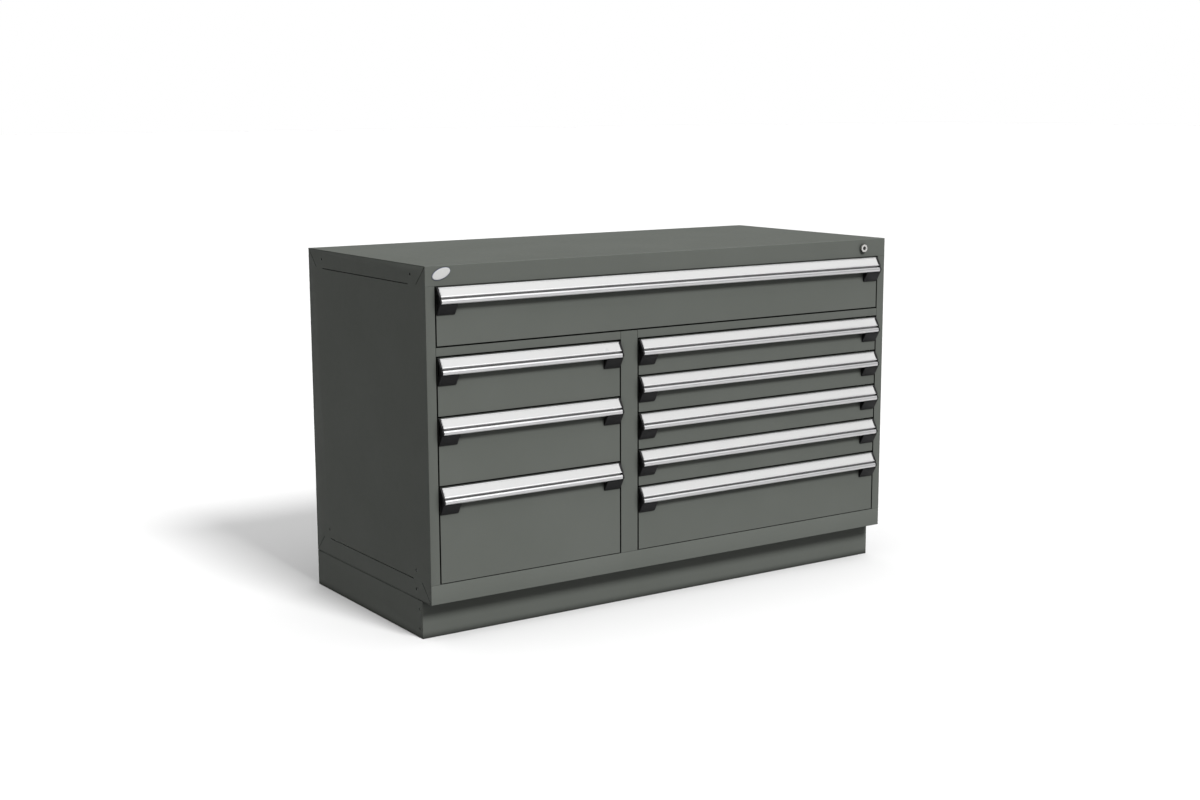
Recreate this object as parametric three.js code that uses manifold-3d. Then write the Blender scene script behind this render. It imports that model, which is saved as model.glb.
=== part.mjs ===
// A standing modular drawer cabinet of painted sheet steel on a recessed plinth: one full-width drawer over
// a column of three and a column of five, each on a pair of telescopic slides, with a lock for them all.
// Millimetres, +Z up, the drawers facing -Y. The origin is on the floor under the middle of the cabinet.

import * as THREE from "three";
import { mergeVertices } from "three/addons/utils/BufferGeometryUtils.js";
import Module from "manifold-3d";

const wasm = await Module();
wasm.setup();

// Overall sizes
const CASE_WIDTH = 1524;
const CASE_DEPTH = 685.8;
const BASE_HEIGHT = 101.6;
const BASE_RECESS = 50.8;
const RAIL_HEIGHT = 50.8;
const TOP_DRAWER_HEIGHT = 152.4;
const FILLER_HEIGHT = 25.4;
const COLUMN_HEIGHT = 584.2;

// Columns; the lowest drawer of each takes the height that the upper ones leave
const POST_WIDTH = 26;
const POST_DEPTH = 25;
const CENTRE_POST_WIDTH = 54;
const LEFT_OPENING = 558;
const LEFT_UPPER_DRAWERS = [152.4, 177.8];
const RIGHT_UPPER_DRAWERS = [101.6, 101.6, 101.6, 101.6];

// Sheet and clearances
const SHEET = 2;
const THIN_SHEET = 1.5;
const FIT_GAP = 0.3;
const SEAM = 0.8;
const BASE_SEAM = 1.2;
const REVEAL = 4;
const FLANGE = 20;

// Drawers and their slides, from the edge of the opening inwards and from the drawer's line upwards
const FRONT_RETURN = 16;
const TRAY_RISE = 7;
const TRAY_DROP = 12;
const TRAY_SIDE_CLEARANCE = 15;
const TRAY_BACK_CLEARANCE = 45;
const SLIDE_RISE = 12;
const SLIDE_HEIGHT = 36;
const SLIDE_START = 36;
const SLIDE_OFFSET = 0.5;
const FIXED_RAIL_WIDTH = 8.5;
const MEMBER_GAP = 0.7;
const MEMBER_END_GAP = 1.5;
const NEST_GAP = 0.5;
const UPRIGHT_WIDTH = 30;
const UPRIGHT_SETBACK = 70;

// Label-holder handle: reach out from the drawer front, and drops below the drawer's top edge
const HANDLE_REACH = 22;
const BEAD_RADIUS = 7;
const HANDLE_WALL = 2.2;
const BEAD_DROP = 36.2;
const HOOD_DROP = 24.2;
const CAP_WIDTH = 5;
const BRACKET_LENGTH = 52;
const BRACKET_DROP = 70.5;

// Side seams: a slot along the line of each rail, mitred corners, and the holes that neighbours bolt through
const SLOT_FROM_FRONT = 93;
const SLOT_FROM_BACK = 90.8;
const SLOT_HEIGHT = 2;
const MITRE_DEPTH = 1;
const MITRE_WIDTH = 1.8;
const HOLE_RADIUS = 3.5;
const HOLE_FROM_FRONT = 80;
const HOLE_FROM_BACK = 85;
const HOLE_FROM_LINE = 25;

// Lock
const LOCK_FROM_SIDE = 86;
const LOCK_RING_RADIUS = 11;
const LOCK_RING_REACH = 8;
const BARREL_RADIUS = 9;
const PLUG_RADIUS = 5.5;
const PLUG_CLEARANCE = 0.1;
const CAM_THROW = 10;
const CAM_PIN_RADIUS = 2.5;
const BAR_SIDE_GAP = 4;
const BAR_SHEET = 3;
const BAR_SETBACK = 28;
const HOOK_HEIGHT = 7;
const CATCH_HEIGHT = 10;

// Badge
const BADGE_LENGTH = 54;
const BADGE_HEIGHT = 27;
const BADGE_REACH = 2.5;
const BADGE_FROM_SIDE = 45;
const BADGE_TILT = THREE.MathUtils.degToRad(20);

const HALF = CASE_WIDTH / 2;
const FRONT = (HANDLE_REACH - CASE_DEPTH) / 2;
const BACK = FRONT + CASE_DEPTH;
const CASE_FLOOR = BASE_HEIGHT;
const COLUMN_BOTTOM = CASE_FLOOR + RAIL_HEIGHT;
const COLUMN_TOP = COLUMN_BOTTOM + COLUMN_HEIGHT;
const FILLER_TOP = COLUMN_TOP + FILLER_HEIGHT;
const TOP_DRAWER_TOP = FILLER_TOP + TOP_DRAWER_HEIGHT;
const TOTAL_HEIGHT = TOP_DRAWER_TOP + RAIL_HEIGHT;
const OPENING_LEFT = POST_WIDTH - HALF;
const OPENING_RIGHT = HALF - POST_WIDTH;
const CENTRE_LEFT = OPENING_LEFT + LEFT_OPENING;
const CENTRE_RIGHT = CENTRE_LEFT + CENTRE_POST_WIDTH;
const CENTRE = (CENTRE_LEFT + CENTRE_RIGHT) / 2;
const SHELF_TOP = FILLER_TOP - FILLER_HEIGHT / 2 - SHEET;
const LOCK_Z = TOP_DRAWER_TOP + RAIL_HEIGHT / 2;
const LOCK_X = HALF - LOCK_FROM_SIDE;

// Materials
const paint = (color) => new THREE.MeshStandardMaterial({ color, roughness: 0.5 });
const metal = (color) => new THREE.MeshStandardMaterial({ color, roughness: 0.3, metalness: 1 });
const CASE_PAINT = 0x5a5d57;
const ZINC = 0xb9bcbe;
const ALUMINIUM = 0xd8dadc;
const CHROME = 0xe6e7e8;
const BADGE_WHITE = 0xf2f2f4;

// A closed three.js geometry as a solid that can be joined and cut. Its points are put on a grid of a
// thousandth of a millimetre, so that faces meant to meet do meet.
function solidOf(geometry) {
  const points = Array.from(geometry.getAttribute("position").array, (v) => Math.round(v * 1000) / 1000);
  const bare = new THREE.BufferGeometry();
  bare.setAttribute("position", new THREE.Float32BufferAttribute(points, 3));
  bare.setIndex(geometry.index);
  const merged = mergeVertices(bare, 1e-4);
  const shape = {
    numProp: 3,
    vertProperties: merged.getAttribute("position").array,
    triVerts: new Uint32Array(merged.index.array),
  };
  return new wasm.Manifold(new wasm.Mesh(shape));
}

// The geometry of a solid, with its faces kept flat and the cuts across a flat face healed.
function geometryOf(solid) {
  const mesh = solid.asOriginal().simplify(0.002).getMesh();
  const geometry = new THREE.BufferGeometry();
  geometry.setAttribute("position", new THREE.BufferAttribute(mesh.vertProperties, mesh.numProp));
  geometry.setIndex(new THREE.BufferAttribute(mesh.triVerts, 1));
  const flat = geometry.toNonIndexed();
  flat.computeVertexNormals();
  return flat;
}

// One closed piece out of several that touch or overlap.
function join(geometries) {
  return geometryOf(wasm.Manifold.union(geometries.map(solidOf)));
}

// A piece with others taken out of it.
function cut(geometry, tools) {
  return geometryOf(solidOf(geometry).subtract(wasm.Manifold.union(tools.map(solidOf))));
}

// A rectangular block between two X, two Y and two Z values; each pair may come in either order.
function block(x0, x1, y0, y1, z0, z1) {
  const size = [x1 - x0, y1 - y0, z1 - z0].map(Math.abs);
  return new THREE.BoxGeometry(...size).translate((x0 + x1) / 2, (y0 + y1) / 2, (z0 + z1) / 2);
}

// An outline of [reach, height] points, drawn in the YZ plane with reach towards the viewer, run along X.
function section(outline, x0, x1) {
  const shape = new THREE.Shape(outline.map(([reach, z]) => new THREE.Vector2(FRONT - reach, z)));
  const body = new THREE.ExtrudeGeometry(shape, { depth: x1 - x0, bevelEnabled: false });
  const turn = new THREE.Matrix4().set(0, 0, 1, x0, 1, 0, 0, 0, 0, 1, 0, 0, 0, 0, 0, 1);
  return body.applyMatrix4(turn);
}

// A round bar along Y.
function round(x, z, radius, y0, y1, sides = 32) {
  return new THREE.CylinderGeometry(radius, radius, y1 - y0, sides).translate(x, (y0 + y1) / 2, z);
}

// A distance w from the edge of an opening, as X; inward is +1 at a left edge and -1 at a right one.
const across = (edge, inward, w) => edge + inward * w;

// A block placed by its distances from the edge of an opening.
function edgeBlock({ edge, inward }, w0, w1, y0, y1, z0, z1) {
  return block(across(edge, inward, w0), across(edge, inward, w1), y0, y1, z0, z1);
}

const group = new THREE.Group();

function add(name, geometry, material) {
  const mesh = new THREE.Mesh(geometry, material);
  mesh.name = name;
  group.add(mesh);
}

// The bays, each the space of one drawer between two edges and two lines. A catch is a tab for a lock bar.
function columnBays(name, left, right, upper, catches) {
  const lowest = COLUMN_HEIGHT - upper.reduce((sum, height) => sum + height, 0);
  let top = COLUMN_TOP;
  return [...upper, lowest].map((height, i) => {
    const bay = { name: `${name}_${i + 1}`, left, right, top, bottom: top - height, catches };
    top -= height;
    return bay;
  });
}

const topBay = {
  name: "top",
  left: OPENING_LEFT,
  right: OPENING_RIGHT,
  top: TOP_DRAWER_TOP,
  bottom: FILLER_TOP,
  catches: [-1, 1],
};
const leftBays = columnBays("left", OPENING_LEFT, CENTRE_LEFT, LEFT_UPPER_DRAWERS, [-1]);
const rightBays = columnBays("right", CENTRE_RIGHT, OPENING_RIGHT, RIGHT_UPPER_DRAWERS, [1]);
const bays = [topBay, ...leftBays, ...rightBays];
const leftEdge = (bay) => ({ edge: bay.left, inward: 1 });
const rightEdge = (bay) => ({ edge: bay.right, inward: -1 });

// --- Case -------------------------------------------------------------------------------------------------

// A round hole through a sheet that stands across X.
function sideHole(side, y, z) {
  const drill = new THREE.CylinderGeometry(HOLE_RADIUS, HOLE_RADIUS, 4 * SHEET, 16).rotateZ(Math.PI / 2);
  return drill.translate(side * HALF, y, z);
}

// A mitre line: a shallow groove at 45 degrees from a corner of the side, inwards and up or down.
function mitre(side, y, z, inwardY, inwardZ) {
  const length = Math.SQRT2 * (RAIL_HEIGHT - 4);
  const groove = new THREE.BoxGeometry(2 * MITRE_DEPTH, length, MITRE_WIDTH);
  groove.rotateX((inwardY * inwardZ * Math.PI) / 4);
  return groove.translate(side * HALF, y + (inwardY * RAIL_HEIGHT) / 2, z + (inwardZ * RAIL_HEIGHT) / 2);
}

// What is cut from a side: the slots, the mitres and the holes.
function sideCuts(side) {
  const slot0 = FRONT + SLOT_FROM_FRONT;
  const slot1 = BACK - SLOT_FROM_BACK;
  const outer = side * (HALF + 1);
  const inner = side * (HALF - SHEET - 1);
  const half = SLOT_HEIGHT / 2;
  const slot = (z) => block(outer, inner, slot0, slot1, z - half, z + half);
  const holeFront = FRONT + HOLE_FROM_FRONT;
  const holeBack = BACK - HOLE_FROM_BACK;
  return [
    slot(TOP_DRAWER_TOP),
    slot(COLUMN_BOTTOM),
    mitre(side, FRONT, TOTAL_HEIGHT, 1, -1),
    mitre(side, FRONT, CASE_FLOOR, 1, 1),
    mitre(side, BACK, CASE_FLOOR, -1, 1),
    mitre(side, BACK, TOTAL_HEIGHT, -1, -1),
    sideHole(side, holeFront, LOCK_Z),
    sideHole(side, holeBack, LOCK_Z),
    sideHole(side, holeFront, COLUMN_BOTTOM + HOLE_FROM_LINE),
    sideHole(side, holeFront, COLUMN_BOTTOM - HOLE_FROM_LINE),
    sideHole(side, holeBack, COLUMN_BOTTOM + HOLE_FROM_LINE),
  ];
}

// A side: one sheet, folded at its front into the post that stands between the two rails.
function sidePanel(side) {
  const outer = side * HALF;
  const postEdge = side * (HALF - POST_WIDTH);
  const postBottom = COLUMN_BOTTOM + FIT_GAP;
  const postTop = TOP_DRAWER_TOP - FIT_GAP;
  const sheetFront = FRONT + SHEET + FIT_GAP;
  const sheetBack = BACK - SHEET - FIT_GAP;
  const sheetBottom = CASE_FLOOR + SHEET + FIT_GAP;
  const sheetTop = TOTAL_HEIGHT - SHEET - FIT_GAP;
  const folded = join([
    block(outer, outer - side * SHEET, sheetFront, sheetBack, sheetBottom, sheetTop),
    block(outer, outer - side * SHEET, FRONT, FRONT + POST_DEPTH, postBottom, postTop),
    block(outer, postEdge, FRONT, FRONT + SHEET, postBottom, postTop),
    block(postEdge, postEdge + side * SHEET, FRONT, FRONT + POST_DEPTH, postBottom, postTop),
  ]);
  return cut(folded, sideCuts(side));
}

// The top or the bottom: a sheet with the front rail folded from it and a lip along the rail's free edge.
function railPanel(sheetZ, inwardZ) {
  const railEnd = sheetZ + inwardZ * RAIL_HEIGHT;
  const inside = HALF - SHEET - FIT_GAP;
  return join([
    block(-HALF, HALF, FRONT, BACK, sheetZ, sheetZ + inwardZ * SHEET),
    block(-HALF, HALF, FRONT, FRONT + SHEET, sheetZ, railEnd),
    block(-inside, inside, FRONT, FRONT + POST_DEPTH, railEnd, railEnd - inwardZ * SHEET),
  ]);
}

function backPanel() {
  const bottom = CASE_FLOOR + SHEET + FIT_GAP;
  const top = TOTAL_HEIGHT - SHEET - FIT_GAP;
  const inside = HALF - SHEET - FIT_GAP;
  const flangeFront = BACK - SHEET - FLANGE;
  const flange = (side) =>
    block(side * inside, side * (inside - SHEET), flangeFront, BACK, bottom, top);
  return join([block(-HALF, HALF, BACK - SHEET, BACK, bottom, top), flange(-1), flange(1)]);
}

// The partition: one sheet with a flange against the centre post and a foot on the bottom panel.
function centrePartition() {
  const front = FRONT + POST_DEPTH + FIT_GAP;
  const bottom = CASE_FLOOR + SHEET + FIT_GAP;
  const top = SHELF_TOP - SHEET - FIT_GAP;
  const halfPost = CENTRE_POST_WIDTH / 2 - 1;
  return join([
    block(CENTRE - SHEET / 2, CENTRE + SHEET / 2, front, BACK - SHEET - FIT_GAP, bottom, top),
    block(CENTRE - halfPost, CENTRE + halfPost, front, front + SHEET, COLUMN_BOTTOM, top),
    block(CENTRE, CENTRE + FLANGE, front, BACK - SHEET - FIT_GAP, bottom, bottom + SHEET),
  ]);
}

// The centre post: a channel open to the back, up to the line under the top drawer.
function centrePost() {
  const bottom = COLUMN_BOTTOM + FIT_GAP;
  const top = FILLER_TOP - REVEAL / 2;
  return join([
    block(CENTRE_LEFT, CENTRE_RIGHT, FRONT, FRONT + SHEET, bottom, top),
    block(CENTRE_LEFT, CENTRE_LEFT + SHEET, FRONT, FRONT + POST_DEPTH, bottom, top),
    block(CENTRE_RIGHT - SHEET, CENTRE_RIGHT, FRONT, FRONT + POST_DEPTH, bottom, top),
  ]);
}

// A filler rail: a shallow channel across one column, with a lip back from each long edge.
function fillerRail(left, right) {
  const x0 = left + SEAM;
  const x1 = right - SEAM;
  const bottom = COLUMN_TOP + REVEAL / 2;
  const top = FILLER_TOP - REVEAL / 2;
  return join([
    block(x0, x1, FRONT, FRONT + SHEET, bottom, top),
    block(x0, x1, FRONT, FRONT + POST_DEPTH, bottom, bottom + THIN_SHEET),
    block(x0, x1, FRONT, FRONT + POST_DEPTH, top - THIN_SHEET, top),
  ]);
}

// The shelf under the top drawer, turned up at its front behind the filler rails.
function dividerShelf() {
  const front = FRONT + POST_DEPTH + FIT_GAP;
  const inside = OPENING_RIGHT - 2 * SLIDE_OFFSET;
  const lipTop = FILLER_TOP - REVEAL / 2 - THIN_SHEET;
  return join([
    block(-inside, inside, front, BACK - SHEET - FLANGE - FIT_GAP, SHELF_TOP - SHEET, SHELF_TOP),
    block(-inside, inside, front, front + SHEET, SHELF_TOP - SHEET, lipTop),
  ]);
}

const lockHole = round(LOCK_X, LOCK_Z, BARREL_RADIUS + FIT_GAP, FRONT - 1, FRONT + SHEET + 1);
add("left_side_panel", sidePanel(-1), paint(CASE_PAINT));
add("right_side_panel", sidePanel(1), paint(CASE_PAINT));
add("back_panel", backPanel(), paint(CASE_PAINT));
add("top_panel", cut(railPanel(TOTAL_HEIGHT, -1), [lockHole]), paint(CASE_PAINT));
add("bottom_panel", railPanel(CASE_FLOOR, 1), paint(CASE_PAINT));
add("centre_partition", centrePartition(), paint(CASE_PAINT));
add("centre_post", centrePost(), paint(CASE_PAINT));
add("divider_shelf", dividerShelf(), paint(CASE_PAINT));
add("filler_rail_left", fillerRail(OPENING_LEFT, CENTRE_LEFT), paint(CASE_PAINT));
add("filler_rail_right", fillerRail(CENTRE_RIGHT, OPENING_RIGHT), paint(CASE_PAINT));

// --- Plinth -----------------------------------------------------------------------------------------------

// A plinth plate along X: an upright sheet with a foot and a top flange turned under the cabinet. The sheet
// stops short of the flange's top, which leaves a seam below the case.
function crossPlate(faceY, inwardY) {
  const top = BASE_HEIGHT - FIT_GAP;
  const flange = FLANGE + SHEET;
  const inside = HALF - SHEET - FIT_GAP;
  return join([
    block(-HALF, HALF, faceY, faceY + inwardY * SHEET, 0, top - BASE_SEAM),
    block(-inside, inside, faceY, faceY + inwardY * flange, 0, SHEET),
    block(-inside, inside, faceY + (inwardY * SHEET) / 2, faceY + inwardY * flange, top - SHEET, top),
  ]);
}

// A plinth plate along Y, between the front and the back ones.
function sidePlate(side) {
  const top = BASE_HEIGHT - FIT_GAP;
  const front = FRONT + BASE_RECESS;
  const y0 = front + SHEET + FIT_GAP;
  const y1 = BACK - SHEET - FIT_GAP;
  const flange0 = front + SHEET + FLANGE + FIT_GAP;
  const flange1 = BACK - SHEET - FLANGE - FIT_GAP;
  const outer = side * HALF;
  const flangeX = side * (HALF - SHEET - FLANGE);
  const holeY = y0 + HOLE_FROM_LINE / 2;
  const folded = join([
    block(outer, outer - side * SHEET, y0, y1, 0, top - BASE_SEAM),
    block(outer, flangeX, flange0, flange1, 0, SHEET),
    block(outer - (side * SHEET) / 2, flangeX, flange0, flange1, top - SHEET, top),
  ]);
  return cut(folded, [
    sideHole(side, holeY, BASE_HEIGHT - HOLE_FROM_LINE),
    sideHole(side, holeY, HOLE_FROM_LINE),
  ]);
}

add("base_front", crossPlate(FRONT + BASE_RECESS, 1), paint(CASE_PAINT));
add("base_back", crossPlate(BACK, -1), paint(CASE_PAINT));
add("base_left", sidePlate(-1), paint(CASE_PAINT));
add("base_right", sidePlate(1), paint(CASE_PAINT));

// --- Slide racks and slides -------------------------------------------------------------------------------

const MEMBER_OFFSET = SLIDE_OFFSET + SHEET + MEMBER_GAP;
const SLIDE_FRONT = FRONT + SLIDE_START;
const SLIDE_BACK = BACK - TRAY_BACK_CLEARANCE + SHEET;

// The fixed rail of a slide: a channel that opens towards the drawer.
function fixedRail(place, bay) {
  const bottom = bay.bottom + SLIDE_RISE;
  const top = bottom + SLIDE_HEIGHT;
  const w0 = SLIDE_OFFSET;
  const w1 = SLIDE_OFFSET + FIXED_RAIL_WIDTH;
  return [
    edgeBlock(place, w0, w0 + SHEET, SLIDE_FRONT, SLIDE_BACK, bottom, top),
    edgeBlock(place, w0, w1, SLIDE_FRONT, SLIDE_BACK, bottom, bottom + SHEET),
    edgeBlock(place, w0, w1, SLIDE_FRONT, SLIDE_BACK, top - SHEET, top),
  ];
}

// An upright: a channel with its back on the wall and its two edges on the fixed rails.
function upright(place, depth, y0, bottom, top) {
  const y1 = y0 + UPRIGHT_WIDTH;
  const wall = FIT_GAP - depth;
  const reach = SLIDE_OFFSET + 0.2;
  return [
    edgeBlock(place, wall, wall + SHEET, y0, y1, bottom, top),
    edgeBlock(place, wall, reach, y0, y0 + SHEET, bottom, top),
    edgeBlock(place, wall, reach, y1 - SHEET, y1, bottom, top),
  ];
}

// The fixed rails on one wall, on a front and a back upright; depth is from the wall to the opening's edge.
function slideRack(place, depth, served) {
  const bottom = CASE_FLOOR + SHEET + FIT_GAP + SHEET + FIT_GAP;
  const top = Math.max(...served.map((bay) => bay.bottom)) + SLIDE_RISE + SLIDE_HEIGHT + SLIDE_RISE;
  const backUpright = SLIDE_BACK - UPRIGHT_SETBACK - UPRIGHT_WIDTH;
  return join([
    ...served.flatMap((bay) => fixedRail(place, bay)),
    ...upright(place, depth, FRONT + UPRIGHT_SETBACK, bottom, top),
    ...upright(place, depth, backUpright, bottom, top),
  ]);
}

// The intermediate member of a slide: a thinner channel inside the fixed rail.
function slideMember(place, bay) {
  const bottom = bay.bottom + SLIDE_RISE + SHEET + NEST_GAP;
  const top = bay.bottom + SLIDE_RISE + SLIDE_HEIGHT - SHEET - NEST_GAP;
  const w0 = MEMBER_OFFSET;
  const w1 = TRAY_SIDE_CLEARANCE - MEMBER_END_GAP;
  const y0 = SLIDE_FRONT + SHEET;
  const y1 = SLIDE_BACK - SHEET;
  return join([
    edgeBlock(place, w0, w0 + THIN_SHEET, y0, y1, bottom, top),
    edgeBlock(place, w0, w1, y0, y1, bottom, bottom + THIN_SHEET),
    edgeBlock(place, w0, w1, y0, y1, top - THIN_SHEET, top),
  ]);
}

const wallDepth = POST_WIDTH - SHEET;
const partitionDepth = (CENTRE_POST_WIDTH - SHEET) / 2;
const leftWallBays = [topBay, ...leftBays];
const rightWallBays = [topBay, ...rightBays];
add("left_wall_rack", slideRack(leftEdge(topBay), wallDepth, leftWallBays), metal(ZINC));
add("partition_left_rack", slideRack(rightEdge(leftBays[0]), partitionDepth, leftBays), metal(ZINC));
add("partition_right_rack", slideRack(leftEdge(rightBays[0]), partitionDepth, rightBays), metal(ZINC));
add("right_wall_rack", slideRack(rightEdge(topBay), wallDepth, rightWallBays), metal(ZINC));

// --- Drawers ----------------------------------------------------------------------------------------------

const hookBottom = (bay) => bay.bottom + SLIDE_RISE + SLIDE_HEIGHT;
const catchBottom = (bay) => hookBottom(bay) + HOOK_HEIGHT + SHEET;

// A drawer's front: a sheet with a return folded back from each of its four edges.
function drawerFront(bay) {
  const x0 = bay.left + REVEAL;
  const x1 = bay.right - REVEAL;
  const bottom = bay.bottom + REVEAL / 2;
  const top = bay.top - REVEAL / 2;
  const back = FRONT + FRONT_RETURN;
  return [
    block(x0, x1, FRONT, FRONT + SHEET, bottom, top),
    block(x0, x1, FRONT, back, bottom, bottom + THIN_SHEET),
    block(x0, x1, FRONT, back, top - THIN_SHEET, top),
    block(x0, x0 + THIN_SHEET, FRONT, back, bottom, top),
    block(x1 - THIN_SHEET, x1, FRONT, back, bottom, top),
  ];
}

// A drawer's tray: a bottom, two sides and a back, welded to the front.
function drawerTray(bay) {
  const x0 = bay.left + TRAY_SIDE_CLEARANCE;
  const x1 = bay.right - TRAY_SIDE_CLEARANCE;
  const bottom = bay.bottom + TRAY_RISE;
  const top = bay.top - TRAY_DROP;
  const front = FRONT + SHEET / 2;
  const back = BACK - TRAY_BACK_CLEARANCE;
  return [
    block(x0, x1, front, back, bottom, bottom + THIN_SHEET),
    block(x0, x0 + THIN_SHEET, front, back, bottom, top),
    block(x1 - THIN_SHEET, x1, front, back, bottom, top),
    block(x0, x1, back - THIN_SHEET, back, bottom, top),
  ];
}

// The drawer's own slide member: a channel on the tray's side that runs inside the intermediate one.
function drawerMember(place, bay) {
  const inset = SHEET + THIN_SHEET + 2 * NEST_GAP;
  const bottom = bay.bottom + SLIDE_RISE + inset;
  const top = bay.bottom + SLIDE_RISE + SLIDE_HEIGHT - inset;
  const w0 = MEMBER_OFFSET + THIN_SHEET + 1;
  const w1 = TRAY_SIDE_CLEARANCE;
  return [
    edgeBlock(place, w1 - THIN_SHEET, w1 + THIN_SHEET / 2, SLIDE_FRONT, SLIDE_BACK - SHEET, bottom, top),
    edgeBlock(place, w0, w1, SLIDE_FRONT, SLIDE_BACK - SHEET, bottom, bottom + THIN_SHEET),
    edgeBlock(place, w0, w1, SLIDE_FRONT, SLIDE_BACK - SHEET, top - THIN_SHEET, top),
  ];
}

// A catch: a tab out from the tray's side, just behind the plane of the lock bar's hooks.
function lockCatch(place, bay) {
  const y0 = FRONT + BAR_SETBACK + BAR_SHEET + SHEET;
  const bottom = catchBottom(bay);
  const w0 = SLIDE_OFFSET + 1;
  const w1 = TRAY_SIDE_CLEARANCE + 1;
  return edgeBlock(place, w0, w1, y0, y0 + SHEET, bottom, bottom + CATCH_HEIGHT);
}

// --- Handles ----------------------------------------------------------------------------------------------

// Points on an arc about [reach, z]; angles in degrees from straight out of the front, upwards positive.
function arc(reach, z, radius, from, to, steps) {
  return Array.from({ length: steps + 1 }, (_, i) => {
    const angle = THREE.MathUtils.degToRad(from + ((to - from) * i) / steps);
    return [reach + radius * Math.cos(angle), z + radius * Math.sin(angle)];
  });
}

const BEAD_REACH = HANDLE_REACH - 0.5 - BEAD_RADIUS;

// The handle's section: a sloped face for the label between two lips, a groove, and a rounded grip that is
// open behind for the fingers. top is the drawer's top edge.
function handleSection(top) {
  const hoodReach = BEAD_REACH + 2.3;
  const hoodBottom = top - HOOD_DROP;
  const bead = top - BEAD_DROP;
  return [
    [FIT_GAP, top - 2],
    [2.6, top - 2],
    [4.2, top - 3.6],
    [3, top - 4.4],
    [hoodReach - 2.4, hoodBottom + 1.8],
    [hoodReach - 1.6, hoodBottom + 2.4],
    [hoodReach + 0.6, hoodBottom],
    [hoodReach - 1.2, hoodBottom - 2],
    [BEAD_REACH + 1.4, bead + BEAD_RADIUS + 0.6],
    ...arc(BEAD_REACH, bead, BEAD_RADIUS, 75, -90, 11),
    ...arc(BEAD_REACH, bead, BEAD_RADIUS - HANDLE_WALL, -90, 90, 12),
    [hoodReach - 3.6, hoodBottom - 1],
    [FIT_GAP + HANDLE_WALL, top - 6.5],
    [FIT_GAP + HANDLE_WALL, top - 15],
    [FIT_GAP, top - 15],
  ];
}

// The end cap's section: the whole outline of the handle, closed.
function capSection(top) {
  const bead = top - BEAD_DROP;
  return [
    [FIT_GAP, top],
    [3, top],
    [BEAD_REACH + 3.4, top - HOOD_DROP + 0.6],
    [BEAD_REACH + 2.6, bead + BEAD_RADIUS],
    ...arc(BEAD_REACH, bead, BEAD_RADIUS + 0.5, 60, -90, 10),
    [FIT_GAP, bead - BEAD_RADIUS - 0.5],
  ];
}

// The bracket's section: a foot that fills the grip's end and tapers back to the drawer front below it.
function bracketSection(top) {
  const bead = top - BEAD_DROP;
  return [
    [FIT_GAP, top - 17],
    [BEAD_REACH - 7, top - 17],
    [BEAD_REACH - 5.5, bead - 4],
    [BEAD_REACH + 4.2, bead - BEAD_RADIUS + 1.4],
    [BEAD_REACH + 4.2, bead - BEAD_RADIUS - 1],
    [2.6, top - BRACKET_DROP],
    [FIT_GAP, top - BRACKET_DROP],
  ];
}

function handle(bay) {
  const x0 = bay.left + REVEAL;
  const x1 = bay.right - REVEAL;
  const top = bay.top - REVEAL / 2;
  return join([
    section(handleSection(top), x0 + CAP_WIDTH - 1, x1 - CAP_WIDTH + 1),
    section(capSection(top), x0, x0 + CAP_WIDTH),
    section(capSection(top), x1 - CAP_WIDTH, x1),
    section(bracketSection(top), x0, x0 + BRACKET_LENGTH),
    section(bracketSection(top), x1 - BRACKET_LENGTH, x1),
  ]);
}

for (const bay of bays) {
  const places = [leftEdge(bay), rightEdge(bay)];
  const caught = bay.catches.map((side) => places[side < 0 ? 0 : 1]);
  const tray = join([
    ...drawerFront(bay),
    ...drawerTray(bay),
    ...places.flatMap((place) => drawerMember(place, bay)),
    ...caught.map((place) => lockCatch(place, bay)),
  ]);
  add(`drawer_${bay.name}`, tray, paint(CASE_PAINT));
  add(`handle_${bay.name}`, handle(bay), metal(ALUMINIUM));
  add(`slide_${bay.name}_left`, slideMember(places[0], bay), metal(ZINC));
  add(`slide_${bay.name}_right`, slideMember(places[1], bay), metal(ZINC));
}

// --- Lock -------------------------------------------------------------------------------------------------

// The cylinder's housing: a ring in front of the top rail, a barrel through it and a nut behind.
function lockHousing() {
  const face = FRONT - LOCK_RING_REACH;
  const barrelEnd = FRONT + POST_DEPTH;
  const nut = FRONT + SHEET + FIT_GAP;
  const whole = join([
    round(LOCK_X, LOCK_Z, LOCK_RING_RADIUS, face, FRONT - FIT_GAP, 40),
    round(LOCK_X, LOCK_Z, BARREL_RADIUS, face, barrelEnd),
    round(LOCK_X, LOCK_Z, LOCK_RING_RADIUS + 1, nut, nut + 2 * BAR_SHEET, 6),
  ]);
  return cut(whole, [round(LOCK_X, LOCK_Z, PLUG_RADIUS + PLUG_CLEARANCE, face - 1, barrelEnd + 1)]);
}

// The bars stand inside the side posts, clear of the case side and of the opening by the same gap.
const BAR_OUTER = POST_WIDTH - SHEET - BAR_SIDE_GAP;
const LINK_FRONT = FRONT + BAR_SETBACK + BAR_SHEET + FIT_GAP;

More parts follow.
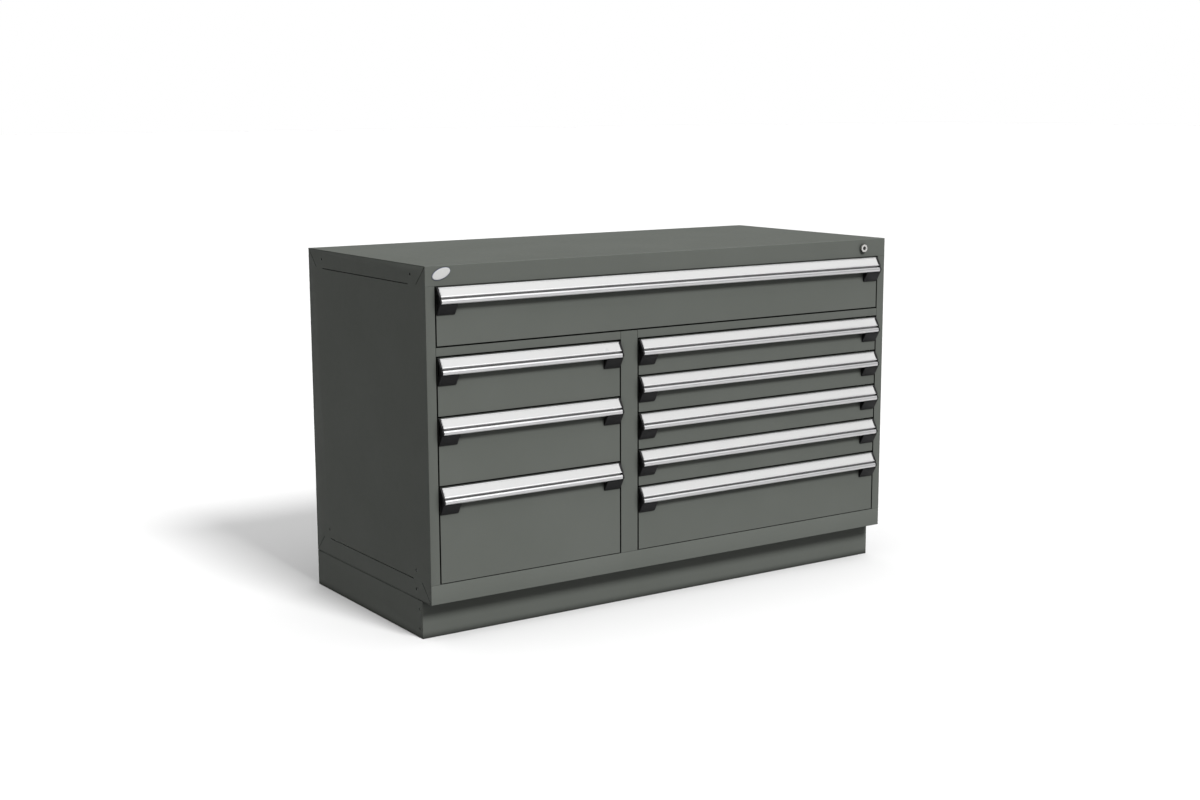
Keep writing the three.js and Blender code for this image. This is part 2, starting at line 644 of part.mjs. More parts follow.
// The plug: a keyway in its face, and on its back end a cam whose pin lifts the link.
function lockPlug() {
  const face = FRONT - LOCK_RING_REACH + 1;
  const camFront = FRONT + POST_DEPTH + 1;
  const camBack = camFront + BAR_SHEET;
  const pinX = LOCK_X - CAM_THROW;
  const camEnd = pinX - CAM_PIN_RADIUS - 1.5;
  const camHalf = CAM_PIN_RADIUS + 1.5;
  const body = join([
    round(LOCK_X, LOCK_Z, PLUG_RADIUS, face, camFront + 1),
    block(camEnd, LOCK_X + PLUG_RADIUS, camFront, camBack, LOCK_Z - camHalf, LOCK_Z + camHalf),
    round(pinX, LOCK_Z, CAM_PIN_RADIUS, camFront + 1, LINK_FRONT + SHEET + 1, 20),
  ]);
  const keyway = block(LOCK_X - 0.9, LOCK_X + 0.9, face - 1, face + 5, LOCK_Z - 3.6, LOCK_Z + 3.6);
  return cut(body, [keyway]);
}

// A lock bar behind a side post, with a hook for the catch of each drawer beside it.
function lockBar(place, served) {
  const y0 = FRONT + BAR_SETBACK;
  const y1 = y0 + BAR_SHEET;
  const bottom = COLUMN_BOTTOM + SLIDE_RISE;
  const hooks = served.map((bay) => {
    const z = hookBottom(bay);
    return edgeBlock(place, -BAR_SIDE_GAP - 1, TRAY_SIDE_CLEARANCE - 3, y0, y1, z, z + HOOK_HEIGHT);
  });
  return join([edgeBlock(place, -BAR_OUTER, -BAR_SIDE_GAP, y0, y1, bottom, LOCK_Z + 10), ...hooks]);
}

// The link across the top, with the slot that the cam's pin works in.
function lockLink() {
  const end = OPENING_RIGHT + BAR_OUTER;
  const bar = block(-end, end, LINK_FRONT, LINK_FRONT + SHEET, LOCK_Z - 10, LOCK_Z + 10);
  const slack = 0.25 * CAM_THROW;
  const pin = CAM_PIN_RADIUS + slack;
  const slot = block(
    LOCK_X - CAM_THROW - pin,
    LOCK_X + pin,
    LINK_FRONT - 1,
    LINK_FRONT + SHEET + 1,
    LOCK_Z - pin,
    LOCK_Z + pin,
  );
  return cut(bar, [slot]);
}

add("lock_housing", lockHousing(), metal(CHROME));
add("lock_plug", lockPlug(), metal(CHROME));
add("lock_bar_left", lockBar(leftEdge(topBay), leftWallBays), metal(ZINC));
add("lock_bar_right", lockBar(rightEdge(topBay), rightWallBays), metal(ZINC));
add("lock_link", lockLink(), metal(ZINC));

// --- Badge ------------------------------------------------------------------------------------------------

// A plain oval plate on the top rail, tilted up to the right.
function badge() {
  const outline = new THREE.Shape();
  outline.absellipse(0, 0, BADGE_LENGTH / 2, BADGE_HEIGHT / 2, 0, 2 * Math.PI);
  const plate = new THREE.ExtrudeGeometry(outline, {
    depth: BADGE_REACH,
    bevelEnabled: false,
    curveSegments: 36,
  });
  plate.rotateZ(BADGE_TILT);
  plate.rotateX(Math.PI / 2);
  return plate.translate(BADGE_FROM_SIDE - HALF, FRONT - FIT_GAP, TOP_DRAWER_TOP + 0.6 * RAIL_HEIGHT);
}

add("badge", badge(), paint(BADGE_WHITE));

export default group;
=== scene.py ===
import math

import bmesh
import bpy
from mathutils import Matrix, Vector


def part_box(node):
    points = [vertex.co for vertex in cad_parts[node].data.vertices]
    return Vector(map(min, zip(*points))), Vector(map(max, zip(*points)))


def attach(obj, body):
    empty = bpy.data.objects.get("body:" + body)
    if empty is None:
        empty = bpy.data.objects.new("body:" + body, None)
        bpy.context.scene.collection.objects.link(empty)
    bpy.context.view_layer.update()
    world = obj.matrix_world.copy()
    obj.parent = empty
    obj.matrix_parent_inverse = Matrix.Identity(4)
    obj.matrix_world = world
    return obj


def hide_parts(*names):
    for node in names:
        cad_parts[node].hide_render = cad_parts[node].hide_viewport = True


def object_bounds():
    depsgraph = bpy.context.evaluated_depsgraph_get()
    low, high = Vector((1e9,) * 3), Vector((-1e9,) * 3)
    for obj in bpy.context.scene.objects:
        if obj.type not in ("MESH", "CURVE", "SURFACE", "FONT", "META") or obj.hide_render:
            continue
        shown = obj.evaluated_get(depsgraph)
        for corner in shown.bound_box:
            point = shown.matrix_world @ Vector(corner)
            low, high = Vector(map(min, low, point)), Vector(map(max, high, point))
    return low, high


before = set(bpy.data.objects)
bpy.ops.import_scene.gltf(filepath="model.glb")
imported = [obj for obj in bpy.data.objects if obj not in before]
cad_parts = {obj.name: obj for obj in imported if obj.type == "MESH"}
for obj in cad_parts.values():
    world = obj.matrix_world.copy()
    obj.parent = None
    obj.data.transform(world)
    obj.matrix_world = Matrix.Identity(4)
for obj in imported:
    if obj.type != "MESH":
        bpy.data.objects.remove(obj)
cad_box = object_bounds()
MM = 0.001


# --- Camera, floor and light ------------------------------------------------------------------------------
# A plain pale studio floor that runs out of sight, a large soft key light high in front and a ceiling of
# bright diffusers, so the cabinet's left side falls into soft shade. The floor's own bounce is left out, and
# a dimmer glow from below stands in for it, so that it doesn't fill that side.

FLOOR_GREY = 0.64
FLOOR_HALF = 80
CAMERA_PLACE = (-2.7503, -4.0887, 1.3574)
CAMERA_TURN = -33.690
CAMERA_DOWN = 9.751
CAMERA_ROLL = -0.214
CAMERA_LENS = 51.729
KEY_BEARING = math.radians(7)
KEY_HEIGHT = math.radians(43)
KEY_POWER = 4.0
KEY_SPREAD = math.radians(16)
CEILING_GLOW = 2.1
CEILING_STARTS = math.radians(44)
CEILING_FULL = math.radians(56)
WALL_GLOW = 0.03
BOUNCE_GLOW = 0.66


def node(tree, kind, **values):
    """Adds a shader node; a value sets the entry of that name or, without one, the node's own setting."""
    made = tree.nodes.new(kind)
    for entry, value in values.items():
        if entry in made.inputs:
            made.inputs[entry].default_value = value
        else:
            setattr(made, entry, value)
    return made


def wire(tree, source, output, target, entry):
    tree.links.new(source.outputs[output], target.inputs[entry])


camera = bpy.data.objects.new("camera", bpy.data.cameras.new("camera"))
camera.data.lens = CAMERA_LENS
camera.data.sensor_width = 36
camera.data.clip_end = 200
turn = Matrix.Rotation(math.radians(CAMERA_TURN), 4, "Z")
tilt = Matrix.Rotation(math.radians(90 - CAMERA_DOWN), 4, "X")
roll = Matrix.Rotation(math.radians(CAMERA_ROLL), 4, "Z")
camera.matrix_world = Matrix.Translation(CAMERA_PLACE) @ turn @ tilt @ roll
bpy.context.scene.collection.objects.link(camera)
bpy.context.scene.camera = camera
bpy.context.scene.view_settings.view_transform = "Standard"

floor_shape = bmesh.new()
bmesh.ops.create_grid(floor_shape, x_segments=1, y_segments=1, size=FLOOR_HALF)
floor_data = bpy.data.meshes.new("studio_floor")
floor_shape.to_mesh(floor_data)
floor_shape.free()
floor = bpy.data.objects.new("studio_floor", floor_data)
bpy.context.scene.collection.objects.link(floor)
floor_finish = bpy.data.materials.new("studio_floor")
floor_finish.use_nodes = True
floor_shader = floor_finish.node_tree.nodes["Principled BSDF"]
floor_shader.inputs["Base Color"].default_value = (FLOOR_GREY, FLOOR_GREY, FLOOR_GREY, 1)
floor_shader.inputs["Roughness"].default_value = 0.9
floor_shader.inputs["Specular IOR Level"].default_value = 0.1
floor_data.materials.append(floor_finish)
floor.visible_diffuse = False

key = bpy.data.objects.new("key_light", bpy.data.lights.new("key_light", "SUN"))
key.data.energy = KEY_POWER
key.data.angle = KEY_SPREAD
towards = Vector((
    math.cos(KEY_HEIGHT) * math.sin(KEY_BEARING),
    -math.cos(KEY_HEIGHT) * math.cos(KEY_BEARING),
    math.sin(KEY_HEIGHT),
))
key.matrix_world = towards.to_track_quat("Z", "Y").to_matrix().to_4x4()
bpy.context.scene.collection.objects.link(key)

studio = bpy.data.worlds.new("studio")
studio.use_nodes = True
sky = studio.node_tree
glow = sky.nodes["Background"]
seen = node(sky, "ShaderNodeLightPath")
bearing = node(sky, "ShaderNodeTexCoord")
height = node(sky, "ShaderNodeSeparateXYZ")
ceiling = node(sky, "ShaderNodeMapRange", interpolation_type="SMOOTHSTEP")
ceiling.inputs["From Min"].default_value = math.sin(CEILING_STARTS)
ceiling.inputs["From Max"].default_value = math.sin(CEILING_FULL)
ceiling.inputs["To Min"].default_value = WALL_GLOW
ceiling.inputs["To Max"].default_value = CEILING_GLOW
below = node(sky, "ShaderNodeMath", operation="LESS_THAN")
below.inputs[1].default_value = 0.0
bounce = node(sky, "ShaderNodeMath", operation="MULTIPLY_ADD")
bounce.inputs[1].default_value = BOUNCE_GLOW
backdrop = node(sky, "ShaderNodeMix", B=1.0)
wire(sky, bearing, "Generated", height, "Vector")
wire(sky, height, "Z", ceiling, "Value")
wire(sky, height, "Z", below, 0)
wire(sky, below, "Value", bounce, 0)
wire(sky, ceiling, "Result", bounce, 2)
wire(sky, seen, "Is Camera Ray", backdrop, "Factor")
wire(sky, bounce, "Value", backdrop, "A")
wire(sky, backdrop, "Result", glow, "Strength")
glow.inputs["Color"].default_value = (1, 1, 1, 1)
bpy.context.scene.world = studio


# --- Painted sheet-steel panels ---------------------------------------------------------------------------
# The case and plinth are 2 mm sheet steel, cut, folded and powder-coated in a dark warm grey with a fine
# orange-peel skin. Folding leaves each edge slightly rounded, so the sheets are copied with eased edges.

PAINT = (0.089, 0.095, 0.086)
PAINT_LIGHTER = (0.095, 0.101, 0.092)
EASED_EDGE = 0.6 * MM


def plain_material(name, roughness, metallic=0.0, specular=0.5):
    made = bpy.data.materials.new(name)
    made.use_nodes = True
    shader = made.node_tree.nodes["Principled BSDF"]
    shader.inputs["Roughness"].default_value = roughness
    shader.inputs["Metallic"].default_value = metallic
    shader.inputs["Specular IOR Level"].default_value = specular
    return made, made.node_tree, shader


def varied(tree, shader, entry, source, output, low, high):
    """Spreads a pattern between two values of one of the shader's entries."""
    spread = node(tree, "ShaderNodeMapRange")
    spread.inputs["To Min"].default_value = low
    spread.inputs["To Max"].default_value = high
    wire(tree, source, output, spread, "Value")
    wire(tree, spread, "Result", shader, entry)


def painted_crease_shade(tree, shader, source, reach):
    """Painted shade: darkens the base colour in gaps, seams, inner corners and under parts closer than
    reach, where shade falls.
    """
    crease = node(tree, "ShaderNodeAmbientOcclusion", Distance=reach, samples=8)
    depth = node(tree, "ShaderNodeMapRange")
    depth.inputs["From Min"].default_value = 0.25
    depth.inputs["From Max"].default_value = 0.95
    depth.inputs["To Min"].default_value = 0.02
    mixed = node(tree, "ShaderNodeMix", data_type="RGBA", blend_type="MULTIPLY")
    mixed.inputs["Factor"].default_value = 1.0
    wire(tree, crease, "AO", depth, "Value")
    tree.links.new(source.outputs["Color"], mixed.inputs[6])
    tree.links.new(depth.outputs["Result"], mixed.inputs[7])
    tree.links.new(mixed.outputs[2], shader.inputs["Base Color"])


def powder_coat(name, colour, lighter):
    made, tree, shader = plain_material(name, 0.65, specular=0.06)
    place = node(tree, "ShaderNodeTexCoord")
    clouds = node(tree, "ShaderNodeTexNoise", Scale=5.0, Detail=3.0)
    peel = node(tree, "ShaderNodeTexNoise", Scale=900.0, Detail=2.0)
    swirl = node(tree, "ShaderNodeTexNoise", Scale=60.0, Detail=2.0)
    for pattern in (clouds, peel, swirl):
        wire(tree, place, "Object", pattern, "Vector")
    shade = node(tree, "ShaderNodeValToRGB")
    shade.color_ramp.elements[0].position = 0.3
    shade.color_ramp.elements[0].color = (*colour, 1)
    shade.color_ramp.elements[1].position = 0.7
    shade.color_ramp.elements[1].color = (*lighter, 1)
    wire(tree, clouds, "Fac", shade, "Fac")
    # Painted shade in the gaps between drawers and panels, in the seams and under the handles.
    painted_crease_shade(tree, shader, shade, 20 * MM)
    varied(tree, shader, "Roughness", swirl, "Fac", 0.58, 0.70)
    bump = node(tree, "ShaderNodeBump", Strength=0.12, Distance=0.0002)
    wire(tree, peel, "Fac", bump, "Height")
    wire(tree, bump, "Normal", shader, "Normal")
    return made


case_paint = powder_coat("case_powder_coat", PAINT, PAINT_LIGHTER)


def make_piece(name, shape, body, material, stands_for=()):
    """Turns a bmesh into a piece that rides on a body and stands for the CAD nodes it replaces."""
    data = bpy.data.meshes.new(name)
    for face in shape.faces:
        face.smooth = True
    shape.to_mesh(data)
    shape.free()
    data.set_sharp_from_angle(angle=math.radians(21))
    made = bpy.data.objects.new(name, data)
    bpy.context.scene.collection.objects.link(made)
    data.materials.append(material)
    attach(made, body)
    if stands_for:
        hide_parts(*stands_for)
    return made


def ease(shape, size, least=0.008, segments=2):
    """Rounds every fold and cut edge that is longer than least."""
    edges = [
        e for e in shape.edges
        if len(e.link_faces) == 2 and e.calc_length() > least and e.calc_face_angle() > math.radians(40)
    ]
    bmesh.ops.bevel(
        shape, geom=edges, offset=size, offset_type="OFFSET", affect="EDGES",
        segments=segments, profile=0.5, material=-1, clamp_overlap=True,
    )


def cad_copy(node_name):
    """A CAD solid's mesh with its corners merged and the triangles of each flat face joined."""
    shape = bmesh.new()
    shape.from_mesh(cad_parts[node_name].data)
    bmesh.ops.remove_doubles(shape, verts=shape.verts, dist=0.002 * MM)
    bmesh.ops.dissolve_limit(
        shape, angle_limit=math.radians(0.5), use_dissolve_boundaries=False,
        verts=shape.verts, edges=shape.edges,
    )
    return shape


def folded_copy(node_name):
    shape = cad_copy(node_name)
    ease(shape, EASED_EDGE)
    return shape


FOLD_RADIUS = 1.5 * MM
top_sheet = cad_copy("top_panel")
front_fold = [
    e for e in top_sheet.edges
    if e.calc_length() > 1.0 and all(v.co.z > cad_box[1][2] - 1e-6 and v.co.y < 0 for v in e.verts)
]
bmesh.ops.bevel(
    top_sheet, geom=front_fold, offset=FOLD_RADIUS, offset_type="OFFSET", affect="EDGES",
    segments=4, profile=0.5, material=-1, clamp_overlap=True,
)
make_piece("top_panel_folded", top_sheet, "case", case_paint, ["top_panel"])

for sheet in (
    "left_side_panel", "right_side_panel", "back_panel", "bottom_panel", "centre_post",
    "filler_rail_left", "filler_rail_right", "base_front", "base_back", "base_left", "base_right",
    "centre_partition", "divider_shelf",
):
    make_piece(sheet + "_folded", folded_copy(sheet), "case", case_paint, [sheet])


# --- Slides -----------------------------------------------------------------------------------------------
# Racks, fixed rails and intermediate members are zinc-plated steel channels, bright with a faint bluish
# spangle and fine rolling lines along their length.


def zinc(name):
    made, tree, shader = plain_material(name, 0.35, metallic=1.0)
    place = node(tree, "ShaderNodeTexCoord")
    spangle = node(tree, "ShaderNodeTexVoronoi", Scale=160.0)
    rolled = node(tree, "ShaderNodeMapping")
    rolled.inputs["Scale"].default_value = (400, 4, 400)
    lines = node(tree, "ShaderNodeTexNoise", Scale=1.0, Detail=2.0)
    wire(tree, place, "Object", spangle, "Vector")
    wire(tree, place, "Object", rolled, "Vector")
    wire(tree, rolled, "Vector", lines, "Vector")
    shade = node(tree, "ShaderNodeValToRGB")
    shade.color_ramp.elements[0].color = (0.50, 0.51, 0.53, 1)
    shade.color_ramp.elements[1].color = (0.62, 0.63, 0.64, 1)
    wire(tree, spangle, "Distance", shade, "Fac")
    wire(tree, shade, "Color", shader, "Base Color")
    varied(tree, shader, "Roughness", lines, "Fac", 0.28, 0.44)
    bump = node(tree, "ShaderNodeBump", Strength=0.1, Distance=0.0001)
    wire(tree, lines, "Fac", bump, "Height")
    wire(tree, bump, "Normal", shader, "Normal")
    return made


zinc_plate = zinc("zinc_plate")
for name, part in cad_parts.items():
    if name.endswith("_rack") or name.startswith(("slide_", "lock_bar", "lock_link")):
        part.data.materials.clear()
        part.data.materials.append(zinc_plate)


# --- Drawers ----------------------------------------------------------------------------------------------
# Each drawer is a welded sheet-steel tray with a folded front, powder-coated as the case is. Runners on its
# sides ride in the slides, and its front closes its bay to within an even gap.

drawer_paint = powder_coat("drawer_powder_coat", PAINT, PAINT_LIGHTER)
drawers = [name[len("drawer_"):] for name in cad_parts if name.startswith("drawer_")]
for name in drawers:
    tray = folded_copy("drawer_" + name)
    make_piece("tray_" + name, tray, "drawer_" + name, drawer_paint, ["drawer_" + name])


# --- Label-holder handles ---------------------------------------------------------------------------------
# Each handle is a satin-anodised aluminium extrusion, cut to the drawer's full width: a sloped face between
# two lips that holds a white label strip, a deep groove below it, and a round-nosed grip.

GRIP_RADIUS = 7.0
GRIP_WALL = 2.2
GRIP_DROP = 36.2
FACE_DROP = 24.2
REACH = 22.0
CAP_RIM = 0.5
GRIP_OUT = REACH - CAP_RIM - GRIP_RADIUS
FACE_OUT = GRIP_OUT + 2.3
GROOVE_DEPTH = 3.4
SAWN_EDGE = 0.7 * MM
CAP_WIDTH = 5.0
CAP_OVERLAP = 1.0


def arc(out, up, radius, start, end, steps):
    """Points about a centre; angles in degrees, 0 straight out from the drawer and 90 up."""
    angles = [math.radians(start + (end - start) * i / steps) for i in range(steps + 1)]
    return [(out + radius * math.cos(a), up + radius * math.sin(a)) for a in angles]


def drawn(outline, front, top, x0, x1):
    """An outline of (out, up) points in mm, from the drawer front and its top edge, run from x0 to x1."""
    shape = bmesh.new()
    corners = [shape.verts.new((x0, front - out * MM, top + up * MM)) for out, up in outline]
    face = shape.faces.new(corners)
    moved = bmesh.ops.extrude_face_region(shape, geom=[face])["geom"]
    ends = [v for v in moved if isinstance(v, bmesh.types.BMVert)]
    bmesh.ops.translate(shape, verts=ends, vec=(x1 - x0, 0, 0))
    bmesh.ops.recalc_face_normals(shape, faces=shape.faces)
    return shape


def ease_ends(shape, size):
    """Rounds the sawn rim at both ends of a length of section."""
    rims = [e for e in shape.edges if abs(e.verts[0].co.x - e.verts[1].co.x) < 1e-6]
    bmesh.ops.bevel(
        shape, geom=rims, offset=size, offset_type="OFFSET", affect="EDGES",
        segments=2, profile=0.5, material=-1, clamp_overlap=True,
    )


def anodised(name):
    made, tree, shader = plain_material(name, 0.42, metallic=1.0)
    place = node(tree, "ShaderNodeTexCoord")
    stretched = node(tree, "ShaderNodeMapping")
    stretched.inputs["Scale"].default_value = (3, 900, 900)
    lines = node(tree, "ShaderNodeTexNoise", Scale=1.0, Detail=3.0)
    wire(tree, place, "Object", stretched, "Vector")
    wire(tree, stretched, "Vector", lines, "Vector")
    shade = node(tree, "ShaderNodeValToRGB")
    shade.color_ramp.elements[0].color = (0.52, 0.52, 0.525, 1)
    shade.color_ramp.elements[1].color = (0.58, 0.58, 0.585, 1)
    wire(tree, lines, "Fac", shade, "Fac")
    # Painted shade in the groove and in the inner corners of the extrusion.
    painted_crease_shade(tree, shader, shade, 9 * MM)
    varied(tree, shader, "Roughness", lines, "Fac", 0.36, 0.48)
    bump = node(tree, "ShaderNodeBump", Strength=0.08, Distance=0.0001)
    wire(tree, lines, "Fac", bump, "Height")
    wire(tree, bump, "Normal", shader, "Normal")
    return made


def extrusion_outline():
    grip = -GRIP_DROP
    return [
        (0.3, -2.0), (2.6, -2.0), (4.2, -3.6), (3.0, -4.4),
        (FACE_OUT - 2.4, 1.8 - FACE_DROP), (FACE_OUT - 1.6, 2.4 - FACE_DROP), (FACE_OUT + 0.6, -FACE_DROP),
        (FACE_OUT, -0.7 - FACE_DROP), (FACE_OUT - GROOVE_DEPTH, -0.9 - FACE_DROP),
        *arc(GRIP_OUT, grip, GRIP_RADIUS, 99, -90, 24),
        *arc(GRIP_OUT, grip, GRIP_RADIUS - GRIP_WALL, -90, 112, 18),
        (FACE_OUT - 5.0, -1 - FACE_DROP), (2.5, -6.5), (2.5, -15.0), (0.3, -15.0),
    ]


aluminium = anodised("anodised_aluminium")


def handle_place(name):
    """The x of a handle's two ends, and the drawer front and top edge that its outlines start from."""
    low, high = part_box("handle_" + name)
    return low.x, high.x, low.y + REACH * MM, high.z


for name in drawers:
    left, right, front, top = handle_place(name)
    inset = (CAP_WIDTH - CAP_OVERLAP) * MM
    holder = drawn(extrusion_outline(), front, top, left + inset, right - inset)
    ease_ends(holder, SAWN_EDGE)
    make_piece("holder_" + name, holder, "drawer_" + name, aluminium, ["handle_" + name])


# --- Label strips -----------------------------------------------------------------------------------------
# A white paper strip under clear film, slid from one end into the sloped face of each handle. The two lips
# hold it, and it stops short of the end brackets.

STRIP_SHORT = 2.5


def label_film(name):
    made, tree, shader = plain_material(name, 0.3)
    place = node(tree, "ShaderNodeTexCoord")
    fibres = node(tree, "ShaderNodeTexNoise", Scale=220.0, Detail=4.0)
    waves = node(tree, "ShaderNodeTexNoise", Scale=9.0, Detail=2.0)
    wire(tree, place, "Object", fibres, "Vector")
    wire(tree, place, "Object", waves, "Vector")
    shade = node(tree, "ShaderNodeValToRGB")
    shade.color_ramp.elements[0].color = (0.42, 0.42, 0.418, 1)
    shade.color_ramp.elements[1].color = (0.45, 0.45, 0.448, 1)
    wire(tree, fibres, "Fac", shade, "Fac")
    wire(tree, shade, "Color", shader, "Base Color")
    varied(tree, shader, "Roughness", waves, "Fac", 0.24, 0.36)
    bump = node(tree, "ShaderNodeBump", Strength=0.05, Distance=0.0003)
    wire(tree, waves, "Fac", bump, "Height")
    wire(tree, bump, "Normal", shader, "Normal")
    return made


label_white = label_film("label_film")


def label_outline():
    return [
        (3.2, -4.6), (3.9, -4.0),
        (FACE_OUT - 1.6, 2.2 - FACE_DROP), (FACE_OUT - 2.3, 1.7 - FACE_DROP),
    ]


for name in drawers:
    left, right, front, top = handle_place(name)
    inset = (CAP_WIDTH + STRIP_SHORT) * MM
    strip = drawn(label_outline(), front, top, left + inset, right - inset)
    make_piece("label_" + name, strip, "drawer_" + name, label_white)


# --- End brackets -----------------------------------------------------------------------------------------
# Each end of a handle sits in a black moulded bracket: a thin cap the shape of the handle's end, and a foot
# under the grip that tapers down to the drawer front. The moulding has a fine matt texture.

CAP_EDGE = 0.8 * MM
FOOT_LENGTH = 52.0
FOOT_DROP = 70.5
FOOT_EDGE = 1.2 * MM


def moulded_black(name):
    made, tree, shader = plain_material(name, 0.5, specular=0.12)
    place = node(tree, "ShaderNodeTexCoord")
    grain = node(tree, "ShaderNodeTexNoise", Scale=1400.0, Detail=2.0)
    flow = node(tree, "ShaderNodeTexNoise", Scale=25.0, Detail=2.0)
    wire(tree, place, "Object", grain, "Vector")
    wire(tree, place, "Object", flow, "Vector")
    shade = node(tree, "ShaderNodeValToRGB")
    shade.color_ramp.elements[0].color = (0.006, 0.006, 0.0064, 1)
    shade.color_ramp.elements[1].color = (0.010, 0.010, 0.0104, 1)
    wire(tree, flow, "Fac", shade, "Fac")
    wire(tree, shade, "Color", shader, "Base Color")
    varied(tree, shader, "Roughness", flow, "Fac", 0.42, 0.58)
    bump = node(tree, "ShaderNodeBump", Strength=0.2, Distance=0.0001)
    wire(tree, grain, "Fac", bump, "Height")
    wire(tree, bump, "Normal", shader, "Normal")
    return made


black_plastic = moulded_black("moulded_black_plastic")


def cap_outline():
    grip = -GRIP_DROP
    return [
        (0.3, 0.0), (3.0, 0.0), (GRIP_OUT + 3.4, 0.6 - FACE_DROP), (GRIP_OUT + 2.6, grip + GRIP_RADIUS),
        *arc(GRIP_OUT, grip, GRIP_RADIUS + CAP_RIM, 60, -90, 14),
        (0.3, grip - GRIP_RADIUS - CAP_RIM),
    ]


def foot_outline():
    grip = -GRIP_DROP
    return [
        (0.3, -17.0), (GRIP_OUT - 7, -17.0), (GRIP_OUT - 5.5, grip - 4),
        (GRIP_OUT - 1, grip - GRIP_RADIUS - 0.3), (GRIP_OUT + 4.6, grip - GRIP_RADIUS - 0.3),
        (2.6, -FOOT_DROP), (0.3, -FOOT_DROP),
    ]


for name in drawers:
    left, right, front, top = handle_place(name)
    body = "drawer_" + name
    for side, edge, inward in (("left", left, 1), ("right", right, -1)):
        cap = drawn(cap_outline(), front, top, *sorted((edge, edge + inward * CAP_WIDTH * MM)))
        ease(cap, CAP_EDGE, least=0.0)
        foot = drawn(foot_outline(), front, top, *sorted((edge, edge + inward * FOOT_LENGTH * MM)))
        ease(foot, FOOT_EDGE, least=0.0)
        make_piece(f"cap_{name}_{side}", cap, body, black_plastic)
        make_piece(f"foot_{name}_{side}", foot, body, black_plastic)


# --- Lock -------------------------------------------------------------------------------------------------
# A cylinder lock in the top rail: a nickel-plated brass housing with a turned, rounded rim, held by a nut
# behind the rail, and a darker plug with a keyway and a cam.

RING_EDGE = 0.5 * MM
PLUG_EDGE = 0.2 * MM


def plated(name, dark, light):
    made, tree, shader = plain_material(name, 0.24, metallic=1.0)
    place = node(tree, "ShaderNodeTexCoord")
    turned = node(tree, "ShaderNodeTexNoise", Scale=500.0, Detail=2.0)
    wire(tree, place, "Object", turned, "Vector")
    shade = node(tree, "ShaderNodeValToRGB")
    shade.color_ramp.elements[0].color = (*dark, 1)
    shade.color_ramp.elements[1].color = (*light, 1)
    wire(tree, turned, "Fac", shade, "Fac")
    # Painted shade in the keyway and the hollows of the lock.
    painted_crease_shade(tree, shader, shade, 4 * MM)
    varied(tree, shader, "Roughness", turned, "Fac", 0.18, 0.32)
    return made


def turned_copy(node_name, size):
    shape = cad_copy(node_name)
    ease(shape, size, least=0.0)
    return shape


lock_nickel = plated("lock_nickel", (0.58, 0.57, 0.55), (0.68, 0.67, 0.65))
# The plug's metal is coloured far darker than the housing's.
darkened_plug = plated("darkened_plug_metal", (0.06, 0.06, 0.06), (0.09, 0.09, 0.088))
ring = turned_copy("lock_housing", RING_EDGE)
make_piece("lock_ring", ring, "case", lock_nickel, ["lock_housing"])
core = turned_copy("lock_plug", PLUG_EDGE)
make_piece("lock_core", core, "lock_plug", darkened_plug, ["lock_plug"])


# --- Badge ------------------------------------------------------------------------------------------------
# A plain oval plate stuck to the top rail, tilted up to the right: a domed white enamel face in a thin
# slate-blue rim. It carries no mark.

BADGE_LENGTH = 54 * MM
BADGE_HEIGHT = 27 * MM
RIM_WIDTH = 1.2 * MM
RIM_FRONT = 1.1 * MM
RIM_DOME = 0.3 * MM
FACE_FRONT = 1.5 * MM
FACE_DOME = 1.0 * MM
BADGE_TILT = math.radians(20)


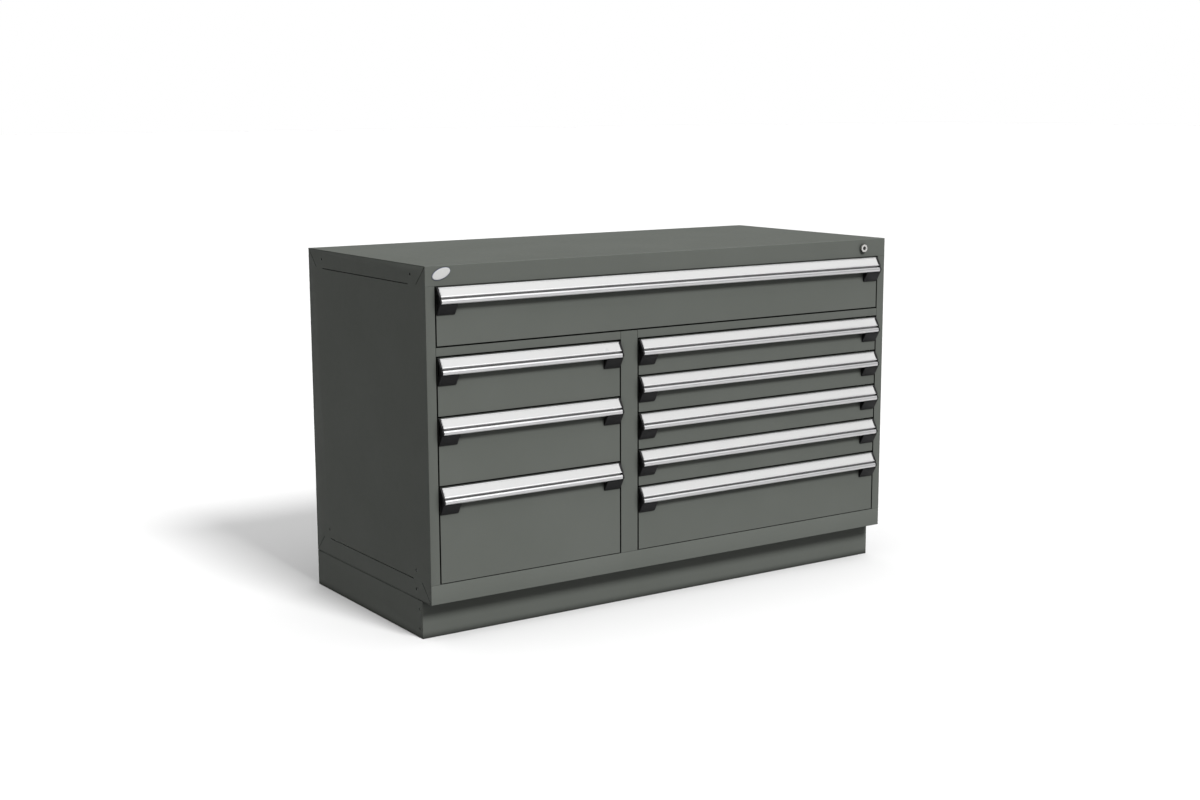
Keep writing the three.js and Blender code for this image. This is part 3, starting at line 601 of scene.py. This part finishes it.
def oval_plate(length, height, front, dome):
    """An oval plate standing front proud of the rail, with a rounded rim and a domed face."""
    shape = bmesh.new()
    bmesh.ops.create_circle(shape, cap_ends=True, segments=64, radius=0.5)
    bmesh.ops.scale(shape, verts=shape.verts, vec=(length, height, 1))
    face = next(iter(shape.faces))
    raised = bmesh.ops.extrude_face_region(shape, geom=[face], use_keep_orig=True)["geom"]
    lid = [v for v in raised if isinstance(v, bmesh.types.BMVert)]
    bmesh.ops.translate(shape, verts=lid, vec=(0, 0, front))
    crown = max(shape.faces, key=lambda f: f.calc_center_median().z)
    for spread, rise in ((0.98, 0.30), (0.92, 0.28), (0.75, 0.22), (0.6, 0.14), (0.5, 0.06)):
        crown = bmesh.ops.extrude_discrete_faces(shape, faces=[crown])["faces"][0]
        bmesh.ops.scale(shape, verts=crown.verts, vec=(spread, spread, 1))
        bmesh.ops.translate(shape, verts=crown.verts, vec=(0, 0, dome * rise))
    bmesh.ops.recalc_face_normals(shape, faces=shape.faces)
    bmesh.ops.rotate(shape, verts=shape.verts, matrix=Matrix.Rotation(BADGE_TILT, 3, "Z"))
    bmesh.ops.rotate(shape, verts=shape.verts, matrix=Matrix.Rotation(math.radians(90), 3, "X"))
    return shape


badge_low, badge_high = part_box("badge")
badge_centre = (badge_low + badge_high) / 2
badge_centre.y = badge_high.y
rim_blue, rim_tree, rim_shader = plain_material("badge_rim_enamel", 0.4)
rim_place = node(rim_tree, "ShaderNodeTexCoord")
rim_cloud = node(rim_tree, "ShaderNodeTexNoise", Scale=300.0, Detail=2.0)
rim_shade = node(rim_tree, "ShaderNodeValToRGB")
rim_shade.color_ramp.elements[0].color = (0.10, 0.11, 0.16, 1)
rim_shade.color_ramp.elements[1].color = (0.14, 0.15, 0.21, 1)
wire(rim_tree, rim_place, "Object", rim_cloud, "Vector")
wire(rim_tree, rim_cloud, "Fac", rim_shade, "Fac")
wire(rim_tree, rim_shade, "Color", rim_shader, "Base Color")
varied(rim_tree, rim_shader, "Roughness", rim_cloud, "Fac", 0.34, 0.46)
badge_white = label_film("badge_enamel")
rim = oval_plate(BADGE_LENGTH, BADGE_HEIGHT, RIM_FRONT, RIM_DOME)
bmesh.ops.translate(rim, verts=rim.verts, vec=badge_centre)
make_piece("badge_rim", rim, "case", rim_blue, ["badge"])
face_length = BADGE_LENGTH - 2 * RIM_WIDTH
face_height = BADGE_HEIGHT - 2 * RIM_WIDTH
plate = oval_plate(face_length, face_height, FACE_FRONT, FACE_DOME)
bmesh.ops.translate(plate, verts=plate.verts, vec=badge_centre)
make_piece("badge_face", plate, "case", badge_white)
